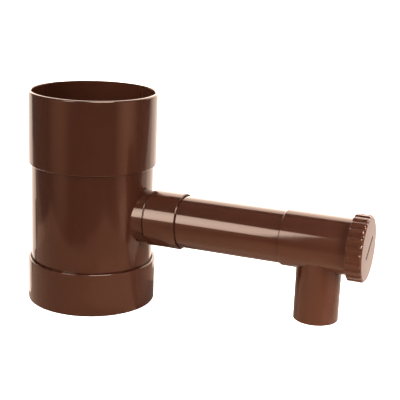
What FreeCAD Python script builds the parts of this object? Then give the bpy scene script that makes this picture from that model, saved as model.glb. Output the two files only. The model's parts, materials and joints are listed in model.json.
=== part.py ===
"""Rainwater diverter for a round plastic downpipe.

The body slips over the downpipe above and closes on a base ring that slips over the downpipe below.
A standpipe in the base makes an annular trough inside the body. The trough feeds a side branch, and
the branch ends in a tee with a spout that points down and a fluted screw cap for cleaning.

The frame has +Z up the downpipe and +X along the branch. The origin is on the downpipe's axis, at the
underside of the base ring. Lengths are in millimetres.
"""

import FreeCAD, Part
import math
import os
from FreeCAD import Rotation, Vector

# Downpipe and the sockets that take it
downpipe_diameter = 100.0
downpipe_clearance = 0.25
socket_wall = 2.4
upper_socket_height = 59.8
upper_socket_floor = 2.4

# Body tube between the upper socket and the base ring
tube_oversize = 0.4
tube_wall = 2.4
tube_exposed_height = 80.4

# Base ring, with its trough floor and standpipe
ring_fit = 0.25
ring_wall = 2.45
ring_height = 35.5
lower_socket_depth = 16.0
trough_floor = 2.4
trough_width = 9.5
standpipe_wall = 2.0
standpipe_above_axis = 7.5

# Side branch: a neck and spigot on the body, a straight coupling and a pipe
branch_axis_height = 76.5
branch_pipe_diameter = 41.9
branch_pipe_wall = 1.9
branch_pipe_exposed = 85.5
pipe_fit = 0.15
neck_step = 0.7
neck_exposed = 5.7
coupling_length = 27.3
coupling_wall = 1.8
coupling_stop = 2.0

# Outlet tee at the end of the branch
tee_length = 61.9
tee_socket_wall = 1.1
tee_stop = 1.5
tee_wall = 2.3
spout_diameter = 35.5
spout_wall = 2.0
spout_from_mouth = 28.4
spout_drop = 62.3

# Fluted screw cap and its seal
cap_diameter = 52.4
cap_wall = 2.8
cap_height = 12.5
cap_top = 2.4
cap_edge_round = 2.3
thread_height = 1.2
thread_clearance = 0.3
flute_count = 24
flute_radius = 2.6
flute_depth = 1.2
seal_thickness = 1.8
seal_inset = 0.6
seal_margin = 0.4

# Moulded edges
rim_round = 0.8
ring_round = 0.7
joint_round = 0.45
tee_mouth_round = 0.9
socket_lead_in = 0.6
ring_lead_in = 0.5
mouth_chamfer = 0.9
crease_round = 0.9
standpipe_round = 0.7
foot_round = 0.5

# How near two lengths lie when they count as the same
same_length = 1e-3
crease_samples = 9

# Radii and heights that follow from the sizes above
socket_bore = downpipe_diameter / 2 + downpipe_clearance
socket_outer = socket_bore + socket_wall
tube_outer = downpipe_diameter / 2 + tube_oversize
tube_bore = tube_outer - tube_wall
ring_bore = tube_outer + ring_fit
ring_outer = ring_bore + ring_wall
standpipe_outer = tube_bore - trough_width
standpipe_bore = standpipe_outer - standpipe_wall

trough_bottom = lower_socket_depth + trough_floor
tube_top = ring_height + tube_exposed_height
socket_seat = tube_top + upper_socket_floor
body_top = tube_top + upper_socket_height
standpipe_top = branch_axis_height + standpipe_above_axis

pipe_outer = branch_pipe_diameter / 2
pipe_bore = pipe_outer - branch_pipe_wall
neck_outer = pipe_outer + neck_step
coupling_bore = pipe_outer + pipe_fit
coupling_outer = coupling_bore + coupling_wall
tee_socket_bore = pipe_outer + pipe_fit
tee_outer = tee_socket_bore + tee_socket_wall
tee_bore = tee_outer - tee_wall
spout_outer = spout_diameter / 2
spout_bore = spout_outer - spout_wall

coupling_start = tube_outer + neck_exposed
coupling_end = coupling_start + coupling_length
spigot_end = (coupling_start + coupling_end - coupling_stop) / 2
pipe_start = spigot_end + coupling_stop
tee_mouth = coupling_end + branch_pipe_exposed
spout_axis = tee_mouth + spout_from_mouth
pipe_end = spout_axis - spout_bore - tee_stop
tee_end = tee_mouth + tee_length
cap_inside = tee_end + seal_thickness
cap_face = cap_inside + cap_top
cap_back = cap_face - cap_height
cap_outer = cap_diameter / 2
cap_bore = cap_outer - cap_wall
thread_root = cap_bore - thread_clearance - thread_height
thread_bore = thread_root - tee_wall
flute_pitch = 360 / flute_count


def cylinder(radius, start, end):
    """A round bar on the Z axis from one height to another."""
    return Part.makeCylinder(radius, end - start, Vector(0, 0, start))


def tube(bore, outer, start, end):
    """A plain round tube on the Z axis."""
    return cylinder(outer, start, end).cut(cylinder(bore, start, end))


def circles(shape, radius, height):
    """The round edges of a shape on the Z axis that have this radius and height."""
    found = []
    for edge in shape.Edges:
        if not isinstance(edge.Curve, Part.Circle):
            continue
        same_radius = abs(edge.Curve.Radius - radius) < same_length
        same_height = abs(edge.Curve.Center.z - height) < same_length
        if same_radius and same_height:
            found.append(edge)
    return found


def rounded(shape, size, *places):
    """Rounds the circular edges at the given (radius, height) places."""
    edges = [edge for place in places for edge in circles(shape, *place)]
    return shape.makeFillet(size, edges)


def flared(bore, start, end, size):
    """A round bar for cutting a socket, wider by a chamfer at its end. It runs up or down."""
    step = math.copysign(size, end - start)
    lead_in = Part.makeCone(bore, bore + size, size, Vector(0, 0, end - step), Vector(0, 0, step))
    return cylinder(bore, min(start, end), max(start, end)).fuse(lead_in)


def along_branch(shape):
    """Turns a shape made on the Z axis on to the branch's axis, so that its height becomes X."""
    placed = shape.copy()
    placed.Placement = FreeCAD.Placement(Vector(0, 0, branch_axis_height), Rotation(Vector(0, 1, 0), 90))
    return placed


def branch_crease(shape):
    """The edges where the branch's neck runs into the outside of the tube."""
    found = []
    for edge in shape.Edges:
        points = edge.discretize(crease_samples)
        off_tube = [abs(math.hypot(p.x, p.y) - tube_outer) for p in points]
        off_neck = [abs(math.hypot(p.y, p.z - branch_axis_height) - neck_outer) for p in points]
        if max(off_tube + off_neck) < same_length:
            found.append(edge)
    return found


def make_diverter_body():
    """Upper socket, tube and the branch's neck and spigot, moulded as one piece."""
    socket = cylinder(socket_outer, tube_top, body_top)
    socket = rounded(socket, rim_round, (socket_outer, tube_top), (socket_outer, body_top))
    outside = socket.fuse(cylinder(tube_outer, trough_bottom, socket_seat))
    stub = cylinder(neck_outer, 0, coupling_start).fuse(cylinder(pipe_outer, 0, spigot_end))
    outside = outside.fuse(along_branch(stub)).removeSplitter()
    outside = outside.makeFillet(crease_round, branch_crease(outside))

    downpipe_way = cylinder(tube_bore, trough_bottom, body_top)
    downpipe_way = downpipe_way.fuse(flared(socket_bore, socket_seat, body_top, socket_lead_in))
    branch_way = cylinder(pipe_bore, 0, spigot_end)
    return outside.cut(downpipe_way).cut(along_branch(branch_way))


def make_collector_base():
    """Base ring with a socket above and below, the trough's floor and the overflow standpipe."""
    ring = cylinder(ring_outer, 0, ring_height)
    ring = rounded(ring, ring_round, (ring_outer, ring_height), (ring_outer, 0))
    ring = ring.cut(flared(ring_bore, trough_bottom, ring_height, ring_lead_in))
    ring = ring.cut(cylinder(socket_bore, 0, lower_socket_depth))

    standpipe = cylinder(standpipe_outer, lower_socket_depth, standpipe_top)
    base = ring.fuse(standpipe).cut(cylinder(standpipe_bore, lower_socket_depth, standpipe_top))
    standpipe_rim = [(standpipe_outer, standpipe_top), (standpipe_bore, standpipe_top)]
    return rounded(base.removeSplitter(), standpipe_round, *standpipe_rim)


def make_branch_coupling():
    """Straight sleeve over the spigot and the pipe, with a stop rib inside that parts their ends."""
    sleeve = cylinder(coupling_outer, coupling_start, coupling_end)
    sleeve = rounded(sleeve, joint_round, (coupling_outer, coupling_start), (coupling_outer, coupling_end))
    sleeve = sleeve.cut(flared(coupling_bore, spigot_end, coupling_start, mouth_chamfer))
    sleeve = sleeve.cut(flared(coupling_bore, pipe_start, coupling_end, mouth_chamfer))
    return along_branch(sleeve.cut(cylinder(pipe_bore, spigot_end, pipe_start)))


def make_branch_pipe():
    """Plain pipe pushed into the coupling and the tee until it meets their stops."""
    return along_branch(tube(pipe_bore, pipe_outer, pipe_start, pipe_end))


def make_outlet_tee():
    """Tee with a socket for the pipe, a spout pointing down and an end for the screw cap."""
    run = cylinder(tee_outer, tee_mouth, cap_back).fuse(cylinder(thread_root, cap_back, tee_end))
    run = rounded(run.removeSplitter(), joint_round, (thread_root, tee_end))
    run = rounded(run, tee_mouth_round, (tee_outer, tee_mouth))
    run_way = cylinder(tee_socket_bore, tee_mouth, pipe_end)
    run_way = run_way.fuse(cylinder(tee_bore, pipe_end, cap_back - tee_wall))
    run_way = run_way.fuse(cylinder(min(tee_bore, thread_bore), cap_back - tee_wall, cap_back + tee_wall))
    run_way = run_way.fuse(cylinder(thread_bore, cap_back + tee_wall, tee_end)).removeSplitter()

    spout_end = branch_axis_height - spout_drop
    spout = cylinder(spout_outer, spout_end, branch_axis_height)
    spout = rounded(spout, foot_round, (spout_outer, spout_end))
    spout_way = cylinder(spout_bore, spout_end, branch_axis_height)
    for piece in (spout, spout_way):
        piece.translate(Vector(spout_axis, 0, 0))
    return along_branch(run).fuse(spout).cut(along_branch(run_way)).cut(spout_way)


def make_screw_cap():
    """Round cap with a flat face, a rounded edge and a fluted grip."""
    cap = cylinder(cap_outer, cap_back, cap_face)
    cap = rounded(cap, cap_edge_round, (cap_outer, cap_face))
    first_flute = cylinder(flute_radius, cap_back, cap_face)
    first_flute.translate(Vector(cap_outer + flute_radius - flute_depth, 0, 0))
    flutes = []
    for number in range(flute_count):
        flute = first_flute.copy()
        flute.rotate(Vector(0, 0, 0), Vector(0, 0, 1), number * flute_pitch + flute_pitch / 2)
        flutes.append(flute)
    cap = cap.cut(Part.makeCompound(flutes))
    return along_branch(cap.cut(cylinder(cap_bore, cap_back, cap_inside)))


def make_cap_seal():
    """Flat rubber washer squeezed between the tee's end and the inside of the cap."""
    return along_branch(tube(thread_bore - seal_inset, cap_bore - seal_margin, tee_end, cap_inside))


os.makedirs("parts", exist_ok=True)
make_diverter_body().exportStep("parts/diverter_body.step")
make_collector_base().exportStep("parts/collector_base.step")
make_branch_coupling().exportStep("parts/branch_coupling.step")
make_branch_pipe().exportStep("parts/branch_pipe.step")
make_outlet_tee().exportStep("parts/outlet_tee.step")
make_screw_cap().exportStep("parts/screw_cap.step")
make_cap_seal().exportStep("parts/cap_seal.step")
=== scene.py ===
"""Looks of a brown plastic rainwater diverter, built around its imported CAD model, in metres."""

import json
import math

import bmesh
import bpy
from mathutils import Matrix, Vector


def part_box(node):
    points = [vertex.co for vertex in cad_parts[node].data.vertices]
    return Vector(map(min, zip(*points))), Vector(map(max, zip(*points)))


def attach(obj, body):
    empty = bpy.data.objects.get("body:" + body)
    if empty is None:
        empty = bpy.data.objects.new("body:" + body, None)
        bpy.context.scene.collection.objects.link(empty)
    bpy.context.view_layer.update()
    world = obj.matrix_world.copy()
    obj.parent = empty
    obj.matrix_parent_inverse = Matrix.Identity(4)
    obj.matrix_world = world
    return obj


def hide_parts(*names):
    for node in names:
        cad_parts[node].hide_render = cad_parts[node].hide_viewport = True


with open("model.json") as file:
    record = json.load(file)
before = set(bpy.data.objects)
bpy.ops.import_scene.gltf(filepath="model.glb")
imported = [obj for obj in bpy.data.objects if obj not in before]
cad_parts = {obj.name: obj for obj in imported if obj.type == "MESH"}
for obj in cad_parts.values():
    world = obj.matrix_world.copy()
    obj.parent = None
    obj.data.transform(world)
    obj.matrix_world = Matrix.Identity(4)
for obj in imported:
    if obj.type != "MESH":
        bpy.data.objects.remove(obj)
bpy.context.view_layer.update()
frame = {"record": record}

# Diverter body: the upper downpipe socket, the tube and the branch's neck and spigot, injection moulded
# in one shot of brown PVC. The downpipe above drops into the socket and stops on the seat inside.
MM = 0.001
mounts = {mount["name"]: mount for mount in frame["record"]["mounts"]}
body_low, body_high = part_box("diverter_body")
coupling_low, coupling_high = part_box("branch_coupling")
pipe_low, pipe_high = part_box("branch_pipe")

socket_outer = body_high.y
socket_bore = mounts["upper_socket"]["dims"]["r_mm"] * MM
socket_step = 115.9 * MM
seat_thickness = 2.4 * MM
socket_seat = socket_step + seat_thickness
tube_outer = 50.4 * MM
tube_wall = 2.4 * MM
tube_bore = tube_outer - tube_wall
body_foot = body_low.z
body_rim = body_high.z

branch_height = (pipe_low.z + pipe_high.z) / 2
pipe_outer = (pipe_high.y - pipe_low.y) / 2
pipe_wall = 1.9 * MM
pipe_bore = pipe_outer - pipe_wall
neck_step = 0.7 * MM
neck_outer = pipe_outer + neck_step
neck_gap = 1.0 * MM
neck_end = coupling_low.x - neck_gap
spigot_end = body_high.x

rim_round = 1.2 * MM
step_round = 1.2 * MM
neck_round = 0.3 * MM
lead_in = 0.6 * MM

round_steps = 192
bevel_steps = 4
weld_distance = 0.005 * MM
same_place = 0.02 * MM
tool_margin = 5 * MM
upright = Matrix.Identity(4)
along_branch = Matrix.Translation((0, 0, branch_height)) @ Matrix.Rotation(math.radians(90), 4, "Y")


def on_circle(edge, radius, distance):
    """Whether an edge lies on the circle of this radius at this distance along the Z axis."""
    for vertex in edge.verts:
        off_radius = abs(vertex.co.xy.length - radius)
        off_distance = abs(vertex.co.z - distance)
        if max(off_radius, off_distance) > same_place:
            return False
    return True


def turned(outline, rounds, placed, steps=round_steps):
    """Spins a closed outline of (radius, distance) points, rounds the circles given, and places it."""
    bm = bmesh.new()
    points = [bm.verts.new((radius, 0, distance)) for radius, distance in outline]
    for first, second in zip(points, points[1:] + points[:1]):
        bm.edges.new((first, second))
    bmesh.ops.spin(
        bm, geom=bm.verts[:] + bm.edges[:], cent=(0, 0, 0), axis=(0, 0, 1),
        angle=math.tau, steps=steps, use_merge=True,
    )
    bmesh.ops.remove_doubles(bm, verts=bm.verts, dist=weld_distance)
    bmesh.ops.recalc_face_normals(bm, faces=bm.faces)
    for radius, distance, size in rounds:
        circle = [edge for edge in bm.edges if on_circle(edge, radius, distance)]
        bmesh.ops.bevel(
            bm, geom=circle, offset=size, segments=bevel_steps, profile=0.5, affect="EDGES", material=-1,
        )
    bmesh.ops.transform(bm, matrix=placed, verts=bm.verts)
    return bm


def as_object(name, bm):
    """Makes an object of a finished bmesh."""
    mesh = bpy.data.meshes.new(name)
    bm.to_mesh(mesh)
    bm.free()
    piece = bpy.data.objects.new(name, mesh)
    bpy.context.scene.collection.objects.link(piece)
    return piece


def bar(radius, start, end, placed):
    """A solid round bar, used to cut a bore."""
    outline = [(0, start), (radius, start), (radius, end), (0, end)]
    return as_object("bar", turned(outline, [], placed))


def combine(piece, tool, operation):
    """Joins a tool to a piece, or cuts it away, and removes the tool."""
    boolean = piece.modifiers.new(operation, "BOOLEAN")
    boolean.operation = operation
    boolean.solver = "EXACT"
    boolean.object = tool
    evaluated = piece.evaluated_get(bpy.context.evaluated_depsgraph_get())
    finished = bpy.data.meshes.new_from_object(evaluated)
    piece.modifiers.clear()
    piece.data = finished
    bpy.data.objects.remove(tool)


def even_shading(piece, sharp_angle=40):
    """Lets the large faces set the shading, so that a rounded edge leaves the walls beside it flat."""
    piece.data.shade_smooth()
    piece.data.set_sharp_from_angle(angle=math.radians(sharp_angle))
    weighted = piece.modifiers.new("even shading", "WEIGHTED_NORMAL")
    weighted.keep_sharp = True
    weighted.weight = 100


def noise(material, scale, detail, stretch=(1, 1, 1)):
    """A noise pattern in a piece's own coordinates. A stretch under 1 draws it out along that axis."""
    nodes = material.node_tree.nodes
    links = material.node_tree.links
    place = nodes.new("ShaderNodeTexCoord")
    mapping = nodes.new("ShaderNodeMapping")
    mapping.inputs["Scale"].default_value = stretch
    pattern = nodes.new("ShaderNodeTexNoise")
    pattern.inputs["Scale"].default_value = scale
    pattern.inputs["Detail"].default_value = detail
    links.new(place.outputs["Object"], mapping.inputs["Vector"])
    links.new(mapping.outputs["Vector"], pattern.inputs["Vector"])
    return pattern.outputs["Fac"]


def colour_by(pattern, material, dark, light, low=0, high=1):
    """Colours a material from dark to light as a pattern goes from low to high."""
    links = material.node_tree.links
    shader = material.node_tree.nodes["Principled BSDF"]
    tones = material.node_tree.nodes.new("ShaderNodeValToRGB")
    tones.color_ramp.elements[0].position = low
    tones.color_ramp.elements[0].color = dark
    tones.color_ramp.elements[1].position = high
    tones.color_ramp.elements[1].color = light
    links.new(pattern, tones.inputs["Fac"])
    links.new(tones.outputs["Color"], shader.inputs["Base Color"])


def raise_by(pattern, material, strength, depth):
    """Raises a material's surface by a pattern."""
    links = material.node_tree.links
    shader = material.node_tree.nodes["Principled BSDF"]
    relief = material.node_tree.nodes.new("ShaderNodeBump")
    relief.inputs["Strength"].default_value = strength
    relief.inputs["Distance"].default_value = depth
    links.new(pattern, relief.inputs["Height"])
    links.new(relief.outputs["Normal"], shader.inputs["Normal"])


dark_brown = (0.0275, 0.0084, 0.0043, 1)
light_brown = (0.0325, 0.0101, 0.0053, 1)
brown_gloss = (1, 0.74, 0.6, 1)
pvc_ior = 1.45
noise_low = 0.3
noise_high = 0.7


def brown_pvc(name, grain_stretch=(1, 1, 1), roughness=(0.08, 0.12)):
    """Glossy brown PVC: a faint drift of colour, a skin that is not quite even and a very fine grain."""
    material = bpy.data.materials.new(name)
    material.use_nodes = True
    links = material.node_tree.links
    shader = material.node_tree.nodes["Principled BSDF"]
    shader.inputs["IOR"].default_value = pvc_ior
    shader.inputs["Specular Tint"].default_value = brown_gloss
    drift = noise(material, scale=14, detail=4)
    colour_by(drift, material, dark_brown, light_brown, noise_low, noise_high)
    grain = noise(material, scale=420, detail=2, stretch=grain_stretch)
    raise_by(grain, material, strength=0.05, depth=0.2 * MM)

    skin = noise(material, scale=45, detail=3)
    gloss = material.node_tree.nodes.new("ShaderNodeMapRange")
    gloss.inputs["From Min"].default_value = noise_low
    gloss.inputs["From Max"].default_value = noise_high
    gloss.inputs["To Min"].default_value = roughness[0]
    gloss.inputs["To Max"].default_value = roughness[1]
    links.new(skin, gloss.inputs["Value"])
    links.new(gloss.outputs["Result"], shader.inputs["Roughness"])
    return material


moulded = brown_pvc("moulded brown PVC")
body_outline = [
    (tube_outer, body_foot),
    (tube_outer, socket_step),
    (socket_outer, socket_step),
    (socket_outer, body_rim),
    (socket_bore + lead_in, body_rim),
    (socket_bore, body_rim - lead_in),
    (socket_bore, socket_seat),
    (tube_bore, socket_seat),
    (tube_bore, body_foot),
]
body_rounds = [(socket_outer, socket_step, step_round), (socket_outer, body_rim, rim_round)]
body = as_object("body", turned(body_outline, body_rounds, upright))
neck_outline = [
    (0, tube_bore - tool_margin),
    (neck_outer, tube_bore - tool_margin),
    (neck_outer, neck_end),
    (pipe_outer, neck_end),
    (pipe_outer, spigot_end),
    (0, spigot_end),
]
neck = as_object("neck", turned(neck_outline, [(neck_outer, neck_end, neck_round)], along_branch))
combine(body, neck, "UNION")
combine(body, bar(tube_bore, body_foot - tool_margin, socket_seat - same_place, upright), "DIFFERENCE")
combine(body, bar(pipe_bore, 0, spigot_end + tool_margin, along_branch), "DIFFERENCE")
body.data.materials.append(moulded)
even_shading(body)
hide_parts("diverter_body")
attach(body, "diverter")

# Collector base: the ring that closes the body, with the socket for the downpipe below, the floor of the
# trough and the standpipe that carries the overflow. One moulding, welded over the body's foot with solvent.
base_low, base_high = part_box("collector_base")
ring_outer = base_high.y
ring_fit = 0.25 * MM
ring_bore = tube_outer + ring_fit
ring_top = 35.5 * MM
ring_round = 0.7 * MM
ring_lead_in = 0.5 * MM
lower_bore = mounts["lower_socket"]["dims"]["r_mm"] * MM
floor_under = mounts["lower_socket"]["dims"]["length_mm"] * MM
standpipe_outer = 38.5 * MM
standpipe_wall = 2.0 * MM
standpipe_bore = standpipe_outer - standpipe_wall
standpipe_rim = base_high.z
standpipe_round = 0.6 * MM

base_outline = [
    (ring_outer, base_low.z),
    (ring_outer, ring_top),
    (ring_bore + ring_lead_in, ring_top),
    (ring_bore, ring_top - ring_lead_in),
    (ring_bore, body_foot),
    (standpipe_outer, body_foot),
    (standpipe_outer, standpipe_rim),
    (standpipe_bore, standpipe_rim),
    (standpipe_bore, floor_under),
    (lower_bore, floor_under),
    (lower_bore, base_low.z),
]
base_rounds = [
    (ring_outer, base_low.z, ring_round),
    (ring_outer, ring_top, ring_round),
    (standpipe_outer, standpipe_rim, standpipe_round),
    (standpipe_bore, standpipe_rim, standpipe_round),
]
base = as_object("base", turned(base_outline, base_rounds, upright))
base.data.materials.append(moulded)
even_shading(base)
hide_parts("collector_base")
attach(base, "diverter")

# Branch coupling: a straight moulded sleeve of the same PVC, welded over the body's spigot and the pipe.
# A rib halfway along its bore stops both of them.
coupling_outer = coupling_high.y
pipe_fit = 0.15 * MM
coupling_bore = pipe_outer + pipe_fit
mouth_chamfer = 0.9 * MM
joint_round = 0.8 * MM

coupling_outline = [
    (coupling_outer, coupling_low.x),
    (coupling_outer, coupling_high.x),
    (coupling_bore + mouth_chamfer, coupling_high.x),
    (coupling_bore, coupling_high.x - mouth_chamfer),
    (coupling_bore, pipe_low.x),
    (pipe_bore, pipe_low.x),
    (pipe_bore, spigot_end),
    (coupling_bore, spigot_end),
    (coupling_bore, coupling_low.x + mouth_chamfer),
    (coupling_bore + mouth_chamfer, coupling_low.x),
]
coupling_rounds = [
    (coupling_outer, coupling_low.x, joint_round),
    (coupling_outer, coupling_high.x, joint_round),
]
coupling = as_object("coupling", turned(coupling_outline, coupling_rounds, along_branch))
coupling.data.materials.append(moulded)
even_shading(coupling)
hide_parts("branch_coupling")
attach(coupling, "diverter")

# Branch pipe: a length of extruded PVC pipe, sawn square, with the faint lines of the die along it.
# Its ends are pushed home in the coupling and the tee.
pipe_outline = [
    (pipe_outer, pipe_low.x),
    (pipe_outer, pipe_high.x),
    (pipe_bore, pipe_high.x),
    (pipe_bore, pipe_low.x),
]
extruded = brown_pvc("extruded brown PVC", grain_stretch=(0.03, 1, 1), roughness=(0.08, 0.11))
pipe = as_object("pipe", turned(pipe_outline, [], along_branch))
pipe.data.materials.append(extruded)
even_shading(pipe)
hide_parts("branch_pipe")
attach(pipe, "diverter")

# Outlet tee: one PVC moulding with a socket for the pipe, a spout that points down and a threaded end.
# The thread is a coarse ridge with a flat top, and the cap screws on to it.
tee_low, tee_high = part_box("outlet_tee")
cap_low, cap_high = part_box("screw_cap")
tee_outer = tee_high.y
tee_wall = 2.3 * MM
tee_bore = tee_outer - tee_wall
tee_socket = pipe_outer + pipe_fit
tee_mouth_round = 0.9 * MM
tee_end_round = 0.4 * MM
cap_outer = cap_high.y
cap_wall = 2.8 * MM
cap_bore = cap_outer - cap_wall
thread_room = 1.5 * MM
thread_root = cap_bore - thread_room
spout_bore = mounts["outlet"]["dims"]["r_mm"] * MM
spout_wall = 2.0 * MM
spout_outer = spout_bore + spout_wall
spout_foot = tee_low.z
spout_round = 0.5 * MM
spout_placed = Matrix.Translation((mounts["outlet"]["pos_m"][0], 0, 0))

tee_outline = [
    (0, tee_low.x),
    (tee_outer, tee_low.x),
    (tee_outer, cap_low.x),
    (thread_root, cap_low.x),
    (thread_root, tee_high.x),
    (0, tee_high.x),
]
tee_rounds = [(tee_outer, tee_low.x, tee_mouth_round), (thread_root, tee_high.x, tee_end_round)]
spout_outline = [
    (0, spout_foot),
    (spout_outer, spout_foot),
    (spout_outer, branch_height),
    (0, branch_height),
]
spout = as_object("spout", turned(spout_outline, [(spout_outer, spout_foot, spout_round)], spout_placed))
tee = as_object("tee", turned(tee_outline, tee_rounds, along_branch))
combine(tee, spout, "UNION")
combine(tee, bar(tee_socket, tee_low.x - tool_margin, pipe_high.x, along_branch), "DIFFERENCE")
combine(tee, bar(tee_bore, pipe_high.x - same_place, tee_high.x + tool_margin, along_branch), "DIFFERENCE")
combine(tee, bar(spout_bore, spout_foot - tool_margin, branch_height, spout_placed), "DIFFERENCE")
tee.data.materials.append(moulded)
even_shading(tee)
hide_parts("outlet_tee")
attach(tee, "diverter")

thread_pitch = 3.0 * MM
thread_turns = 1.6
thread_lead = 2.0 * MM
thread_start = cap_low.x + thread_lead
thread_height = 1.1 * MM
thread_foot = 1.7 * MM
thread_crest = 0.7 * MM
steps_per_turn = 96


def thread_ridge(root, crest, start):
    """A right-handed ridge wound round the branch's axis, from the root's radius to the crest's."""
    bm = bmesh.new()
    section = [
        (root, start - thread_foot / 2),
        (crest, start - thread_crest / 2),
        (crest, start + thread_crest / 2),
        (root, start + thread_foot / 2),
    ]
    points = [bm.verts.new((radius, 0, distance)) for radius, distance in section]
    first = bm.faces.new(points)
    steps = int(steps_per_turn * thread_turns)
    bmesh.ops.spin(
        bm, geom=[first], cent=(0, 0, 0), axis=(0, 0, 1), dvec=(0, 0, thread_pitch * thread_turns / steps),
        angle=math.tau * thread_turns, steps=steps,
    )
    bmesh.ops.recalc_face_normals(bm, faces=bm.faces)
    bmesh.ops.transform(bm, matrix=along_branch, verts=bm.verts)
    return bm


tee_ridge = thread_ridge(thread_root - same_place, thread_root + thread_height, thread_start)
tee_thread = as_object("tee_thread", tee_ridge)
tee_thread.data.materials.append(moulded)
even_shading(tee_thread)
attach(tee_thread, "diverter")

# Screw cap: a round PVC moulding with a flat face, a soft front edge and a grip of shallow flutes.
# A plain line sunk in its face shows how far it has been turned. It screws on to the tee's thread.
cap_top = 2.4 * MM
cap_inside = cap_high.x - cap_top
cap_front_round = 2.3 * MM
cap_back_round = 0.4 * MM
flute_count = 24
flute_radius = 2.6 * MM
flute_depth = 1.2 * MM
flute_blend = 0.18 * MM
steps_per_flute = 16

cap_outline = [
    (cap_outer, cap_low.x),
    (cap_outer, cap_high.x),
    (0, cap_high.x),
    (0, cap_inside),
    (cap_bore, cap_inside),
    (cap_bore, cap_low.x),
]
cap_rounds = [(cap_outer, cap_high.x, cap_front_round), (cap_outer, cap_low.x, cap_back_round)]


def flute_limit(angle):
    """How far out the grip reaches at an angle: the cap's radius, or less where a flute is cut."""
    pitch = math.tau / flute_count
    from_flute = (angle % pitch) - pitch / 2
    centre = cap_outer + flute_radius - flute_depth
    across = centre * math.sin(from_flute)
    if abs(across) >= flute_radius:
        return cap_outer
    return min(cap_outer, centre * math.cos(from_flute) - math.sqrt(flute_radius**2 - across**2))


def soft_min(first, second, blend):
    """The smaller of two lengths, with the corner between them blended."""
    middle = (first + second) / 2
    half_gap = (first - second) / 2
    return middle - math.sqrt(half_gap**2 + blend**2 / 4)


cap_mesh = turned(cap_outline, cap_rounds, upright, flute_count * steps_per_flute)
for vertex in cap_mesh.verts:
    reach = vertex.co.xy.length
    if reach > cap_bore + same_place:
        limit = flute_limit(math.atan2(vertex.co.y, vertex.co.x))
        vertex.co.xy *= soft_min(reach, limit, flute_blend) / reach
bmesh.ops.transform(cap_mesh, matrix=along_branch, verts=cap_mesh.verts)
cap = as_object("cap", cap_mesh)

line_length = 22.5 * MM
line_width = 2.6 * MM
line_depth = 1.0 * MM
line_tilt = 37.0
line_offset = 1.2 * MM
line_mesh = bmesh.new()
bmesh.ops.create_cube(line_mesh, size=1)
bmesh.ops.scale(line_mesh, vec=(2 * line_depth, line_length, line_width), verts=line_mesh.verts)
bmesh.ops.translate(line_mesh, vec=(0, line_offset, 0), verts=line_mesh.verts)
line_turn = Matrix.Rotation(math.radians(line_tilt), 4, "X")
line_placed = Matrix.Translation((cap_high.x, 0, branch_height)) @ line_turn
bmesh.ops.transform(line_mesh, matrix=line_placed, verts=line_mesh.verts)
combine(cap, as_object("line", line_mesh), "DIFFERENCE")
cap.data.materials.append(moulded)
even_shading(cap, sharp_angle=50)
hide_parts("screw_cap")
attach(cap, "cap")

cap_ridge = thread_ridge(cap_bore + same_place, cap_bore - thread_height, thread_start + thread_pitch / 2)
cap_thread = as_object("cap_thread", cap_ridge)
cap_thread.data.materials.append(moulded)
even_shading(cap_thread)
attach(cap_thread, "cap")

# Cap seal: a flat washer of black rubber, stamped from sheet. It sits in the cap and is squeezed against
# the tee's end.
seal_low, seal_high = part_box("cap_seal")
seal_outer = seal_high.y
seal_width = 4.0 * MM
seal_bore = seal_outer - seal_width
seal_round = 0.2 * MM
rubber_black = (0.012, 0.012, 0.012, 1)
rubber_grey = (0.03, 0.03, 0.03, 1)

rubber = bpy.data.materials.new("black rubber")
rubber.use_nodes = True
rubber.node_tree.nodes["Principled BSDF"].inputs["Roughness"].default_value = 0.65
rubber_grain = noise(rubber, scale=900, detail=2)
colour_by(rubber_grain, rubber, rubber_black, rubber_grey)
raise_by(rubber_grain, rubber, strength=0.2, depth=0.1 * MM)

seal_outline = [
    (seal_outer, seal_low.x),
    (seal_outer, seal_high.x),
    (seal_bore, seal_high.x),
    (seal_bore, seal_low.x),
]
seal_rounds = [(seal_outer, seal_low.x, seal_round), (seal_bore, seal_low.x, seal_round)]
seal = as_object("seal", turned(seal_outline, seal_rounds, along_branch))
seal.data.materials.append(rubber)
even_shading(seal)
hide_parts("cap_seal")
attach(seal, "seal")

# Studio: a pale floor that turns up into pale walls, seen by the camera alone. Softboxes light the plastic,
# and its gloss mirrors some of them, a high window for the edges, a wide backdrop and a table of glowing
# boards. A little warm light comes from all round.
floor_size = 16
wall_height = 8
floor_drop = 0.2 * MM
floor_mesh = bmesh.new()
bmesh.ops.create_grid(floor_mesh, x_segments=1, y_segments=1, size=floor_size / 2)
bmesh.ops.translate(floor_mesh, vec=(0, 0, -floor_drop), verts=floor_mesh.verts)
walls = bmesh.ops.extrude_edge_only(floor_mesh, edges=floor_mesh.edges[:])
wall_tops = [part for part in walls["geom"] if isinstance(part, bmesh.types.BMVert)]
bmesh.ops.translate(floor_mesh, vec=(0, 0, wall_height), verts=wall_tops)
floor = as_object("floor", floor_mesh)

pale = bpy.data.materials.new("pale floor")
pale.use_nodes = True
pale_shader = pale.node_tree.nodes["Principled BSDF"]
pale_shader.inputs["Base Color"].default_value = (0.9, 0.9, 0.9, 1)
pale_shader.inputs["Roughness"].default_value = 0.9
pale_shader.inputs["Specular IOR Level"].default_value = 0.1
pale_shader.inputs["Emission Color"].default_value = (1, 1, 1, 1)
pale_shader.inputs["Emission Strength"].default_value = 1
floor.data.materials.append(pale)
floor.visible_glossy = False
floor.visible_diffuse = False
floor.visible_shadow = False

white = (1, 1, 1)
warm = (1, 0.82, 0.7)
amber = (1, 0.62, 0.42)


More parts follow.
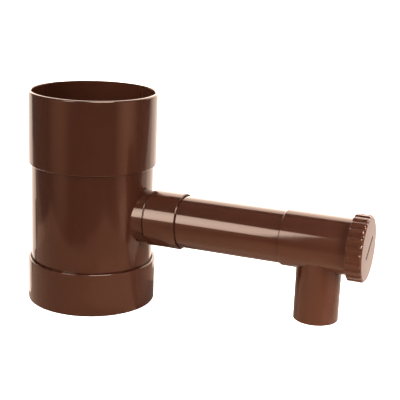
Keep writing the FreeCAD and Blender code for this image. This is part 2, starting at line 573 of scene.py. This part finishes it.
def area_light(name, size, power, placed, colour, spread=180):
    """A rectangular light that the camera doesn't see. A grid narrows its spread, in degrees."""
    light = bpy.data.lights.new(name, "AREA")
    light.shape = "RECTANGLE"
    light.size, light.size_y = size
    light.energy = power
    light.color = colour
    light.spread = math.radians(spread)
    lamp = bpy.data.objects.new(name, light)
    lamp.matrix_world = placed
    lamp.visible_camera = False
    bpy.context.scene.collection.objects.link(lamp)
    return lamp


def softbox(name, place, target, size, power, colour=white, spread=180, mirrored=True, lighting=True):
    """A light that faces a target. It may be left out of what the gloss mirrors, or be only mirrored."""
    back = (Vector(place) - Vector(target)).normalized()
    across = Vector((0, 0, 1)).cross(back).normalized()
    facing = Matrix((across, back.cross(across), back)).transposed().to_4x4()
    lamp = area_light(name, size, power, Matrix.Translation(place) @ facing, colour, spread)
    lamp.visible_glossy = mirrored
    lamp.visible_diffuse = lighting


body_middle = (0, 0, 0.09)
softbox(
    "key light", place=(-0.174, -0.692, 0.385), target=(0.2, 0, branch_height),
    size=(0.3, 0.48), power=1.95, spread=100,
)
softbox(
    "left light", place=(-0.54, -0.8, 0.09), target=body_middle,
    size=(0.9, 0.62), power=0.17, colour=amber, spread=50,
)
softbox(
    "right light", place=(0.96, -0.02, 0.09), target=body_middle,
    size=(0.9, 0.62), power=0.29, colour=amber, spread=50,
)
softbox(
    "cap light", place=(0.42, -0.1, 0.14), target=(0.22, -0.01, 0.075),
    size=(0.1, 0.1), power=0.27, spread=70, mirrored=False,
)
softbox(
    "socket light", place=(0, -0.03, 0.21), target=(0, 0.05, 0.15),
    size=(0.05, 0.03), power=0.012, spread=90, mirrored=False,
)
softbox(
    "window light", place=(0.545, -0.545, 1.02), target=(0, 0, 0.1),
    size=(0.7, 0.4), power=40, lighting=False,
)
softbox(
    "backdrop light", place=(-0.9, 1.5, 1.1), target=(-0.9, 0, 1.1),
    size=(4.8, 2.1), power=155, colour=warm,
)
softbox(
    "front table", place=(0, -0.13, -0.012), target=(0, -0.12, 1),
    size=(0.6, 0.26), power=0.37, colour=amber,
)
softbox(
    "table light", place=(0.37, -0.06, -0.02), target=(0.37, -0.05, 1),
    size=(0.41, 0.42), power=1.9, mirrored=False,
)
softbox(
    "top light", place=(0.35, -0.7, 1.5), target=(0.1, 0, 0.1),
    size=(1.2, 1.2), power=25, mirrored=False,
)
softbox(
    "rear light", place=(1.0, 2.6, 2.0), target=(0.9, 2.3, 0),
    size=(3.0, 3.2), power=120, mirrored=False,
)

table_corner = (-0.07, -0.016, -0.001)
table_angle = -21.2
table_placed = Matrix.Translation(table_corner) @ Matrix.Rotation(math.radians(table_angle), 4, "Z")
facing_up = Matrix.Rotation(math.pi, 4, "X")


def table_board(name, near, far, glow, colour=warm):
    """A level board that glows, from its near left to its far right corner in the table's own axes."""
    size = (far[0] - near[0], far[1] - near[1])
    middle = Matrix.Translation(((near[0] + far[0]) / 2, (near[1] + far[1]) / 2, 0))
    power = glow * math.pi * size[0] * size[1]
    area_light(name, size, power, table_placed @ middle @ facing_up, colour)


table_board("rear table", near=(-1.4, 0.3), far=(0.185, 1.3), glow=2.2)
table_board("far left table", near=(-1.4, -0.05), far=(-0.28, 0.3), glow=2.1)
table_board("left table", near=(-0.28, -0.025), far=(-0.1, 0.3), glow=2.1)
table_board("side table", near=(-0.1, -0.005), far=(0.015, 0.3), glow=2.0)
table_board("left edge", near=(-0.6, -0.14), far=(-0.1, -0.05), glow=0.35, colour=amber)
table_board("right table", near=(0.197, 0.12), far=(0.305, 1.3), glow=1.2)
table_board("far right table", near=(0.305, 0.08), far=(0.46, 0.35), glow=0.6)
table_board("middle table", near=(0.02, 0.15), far=(0.08, 0.3), glow=2.0)
table_board("near table", near=(0.02, 0.05), far=(0.08, 0.15), glow=0.4, colour=amber)
table_board("shaded table", near=(0.08, 0.12), far=(0.185, 0.3), glow=0.45, colour=amber)
table_board("table under the branch", near=(0.12, -0.05), far=(0.26, 0.12), glow=0.35, colour=amber)

world = bpy.data.worlds.new("studio")
world.use_nodes = True
background = world.node_tree.nodes["Background"]
background.inputs["Color"].default_value = (*warm, 1)
background.inputs["Strength"].default_value = 0.24
bpy.context.scene.world = world
bpy.context.scene.view_settings.view_transform = "Standard"

# Camera: stands in front of the branch, to the right of the cap and higher than the rim. It looks back to
# the left and down through a long lens, and is rolled slightly.
camera_place = Vector((380.6, -733.8, 311.4)) * MM
camera_yaw = -0.3697
camera_pitch = -0.2667
camera_roll = 0.0390
camera = bpy.data.cameras.new("camera")
camera.sensor_width = 36
camera.lens = 91.84
ahead = Vector((
    math.sin(camera_yaw) * math.cos(camera_pitch),
    math.cos(camera_yaw) * math.cos(camera_pitch),
    math.sin(camera_pitch),
))
level = Vector((math.cos(camera_yaw), -math.sin(camera_yaw), 0))
above = level.cross(ahead)
right = math.cos(camera_roll) * level + math.sin(camera_roll) * above
up = math.cos(camera_roll) * above - math.sin(camera_roll) * level
viewer = bpy.data.objects.new("camera", camera)
viewer.matrix_world = Matrix.Translation(camera_place) @ Matrix((right, up, -ahead)).transposed().to_4x4()
bpy.context.scene.collection.objects.link(viewer)
bpy.context.scene.camera = viewer
